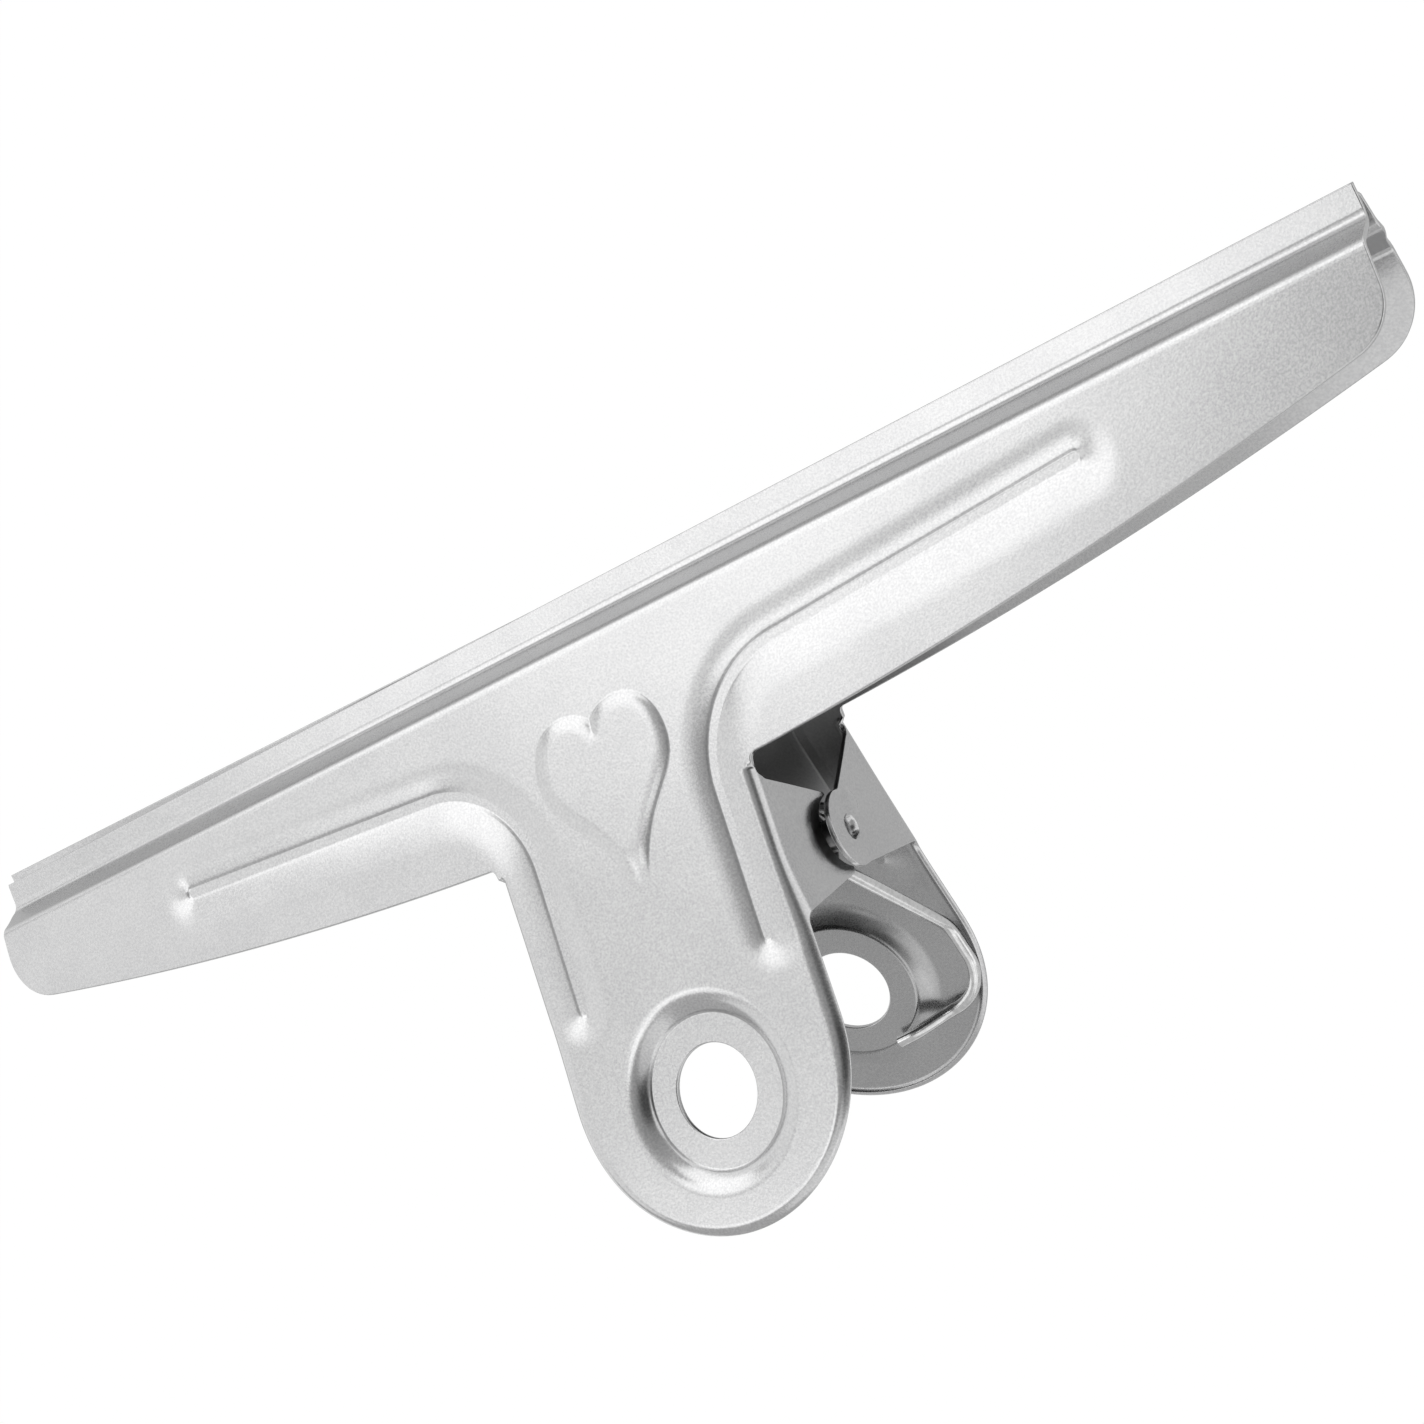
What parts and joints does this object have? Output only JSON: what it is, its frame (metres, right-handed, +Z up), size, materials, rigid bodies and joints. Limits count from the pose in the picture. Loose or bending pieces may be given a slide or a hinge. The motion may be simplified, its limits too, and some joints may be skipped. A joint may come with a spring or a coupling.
{
  "type": "bulldog clip",
  "caption": "Wide sprung paper clip: two pressed steel plates with rounded handles, pierced for hanging, pivot on a wire coil that holds their long lipped jaw shut.",
  "frame": {"origin": "under the middle of the clip's box, on the surface it lies on", "axes": "+X along the jaw, +Y from the handles to the jaw, +Z up, away from the rear plate it lies on"},
  "size_m": [0.145, 0.0548, 0.0325],
  "materials": {
    "plate": "satin nickel plate with a fine tumbled grain",
    "wire": "bright drawn spring wire"
  },
  "bodies": {
    "rear": {"rear_plate": "plate", "spring": "wire"},
    "front": {"front_plate": "plate"}
  },
  "joints": [
    {"name": "jaw_hinge", "type": "hinge", "parent": "rear", "child": "front", "pos_m": [0, 0.00098, 0.01028], "axis": [1, 0, 0], "range_deg": [0, 50], "stiffness_Nm_per_rad": 0.064, "springref_deg": -114.59, "deforming": ["spring"]}
  ]
}
